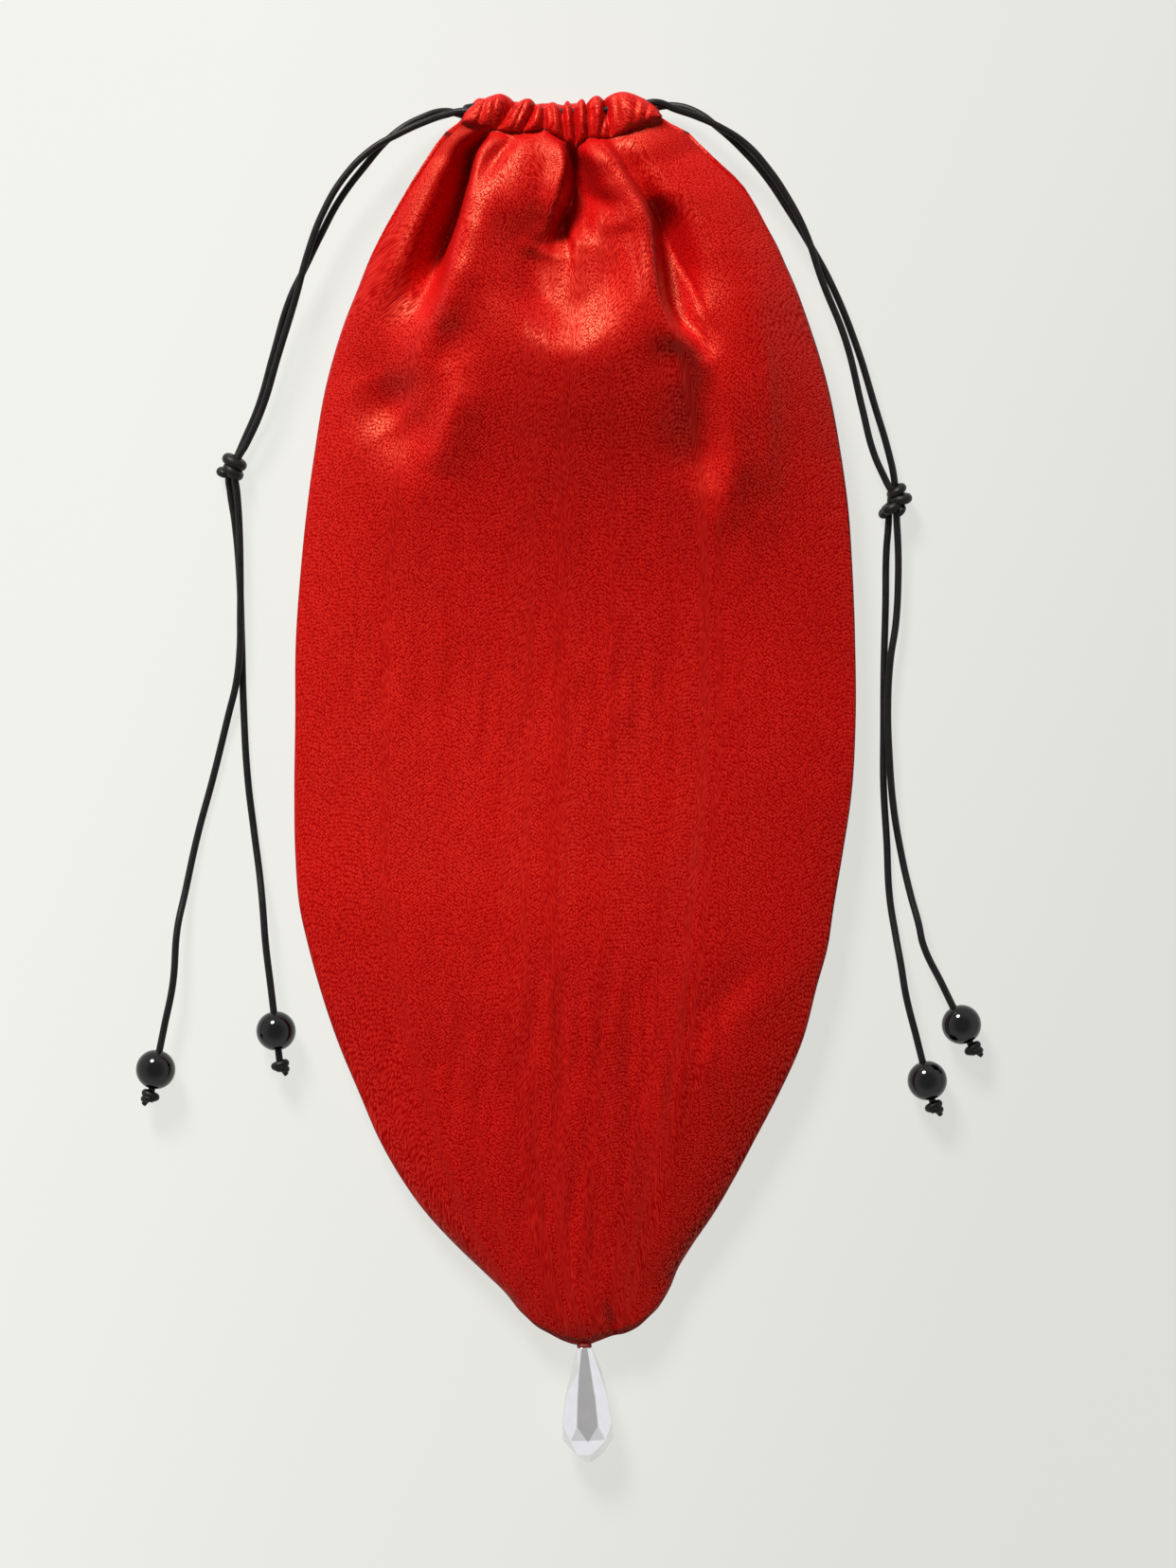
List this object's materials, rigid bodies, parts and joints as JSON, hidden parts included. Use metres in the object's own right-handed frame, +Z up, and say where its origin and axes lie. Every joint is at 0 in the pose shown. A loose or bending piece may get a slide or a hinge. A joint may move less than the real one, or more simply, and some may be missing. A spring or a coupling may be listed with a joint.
{
  "type": "drawstring pouch",
  "caption": "Leaf-shaped satin drawstring pouch lying flat, with a gathered casing, beaded leather drawstrings and a faceted teardrop bead at its tip.",
  "frame": {"origin": "middle of the footprint of the pouch and its drop, on the table they lie on", "axes": "+Y along the pouch towards its mouth, +X to the right seen from the front, +Z up out of the front panel"},
  "size_m": [0.2136, 0.3439, 0.0281],
  "materials": {
    "cloth": "satin-woven red cloth with a soft sheen",
    "leather": "round black leather cord, smooth grain",
    "bead": "polished black",
    "silver": "polished silver",
    "thread": "twisted red thread"
  },
  "bodies": {
    "root": {"front_panel": "cloth", "back_panel": "cloth", "cord_left_loop": "leather", "cord_right_loop": "leather", "cord_left_outer_tail": "leather", "cord_left_inner_tail": "leather", "cord_right_outer_tail": "leather", "cord_right_inner_tail": "leather", "knot_left": "leather", "knot_right": "leather", "stopper_knot_left_outer": "leather", "stopper_knot_left_inner": "leather", "stopper_knot_right_outer": "leather", "stopper_knot_right_inner": "leather"},
    "bead_left_outer": {"bead_left_outer": "bead"},
    "bead_left_inner": {"bead_left_inner": "bead"},
    "bead_right_outer": {"bead_right_outer": "bead"},
    "bead_right_inner": {"bead_right_inner": "bead"},
    "drop": {"drop": "silver", "drop_thread": "thread"}
  },
  "joints": [
    {"name": "bead_left_outer_slide", "type": "slide", "parent": "root", "child": "bead_left_outer", "axis": [0.1961, 0.9806, 0], "range_m": [0, 0.016]},
    {"name": "bead_left_inner_slide", "type": "slide", "parent": "root", "child": "bead_left_inner", "axis": [-0.1191, 0.9929, 0], "range_m": [-0.002, 0.016]},
    {"name": "bead_right_outer_slide", "type": "slide", "parent": "root", "child": "bead_right_outer", "axis": [-0.4327, 0.9015, 0], "range_m": [0, 0.016]},
    {"name": "bead_right_inner_slide", "type": "slide", "parent": "root", "child": "bead_right_inner", "axis": [-0.2425, 0.9701, 0], "range_m": [0, 0.016]},
    {"name": "drop_swing", "type": "hinge", "parent": "root", "child": "drop", "pos_m": [0.0023, -0.1423, 0.00605], "axis": [0, 0, 1], "range_deg": [-18, 18]}
  ]
}
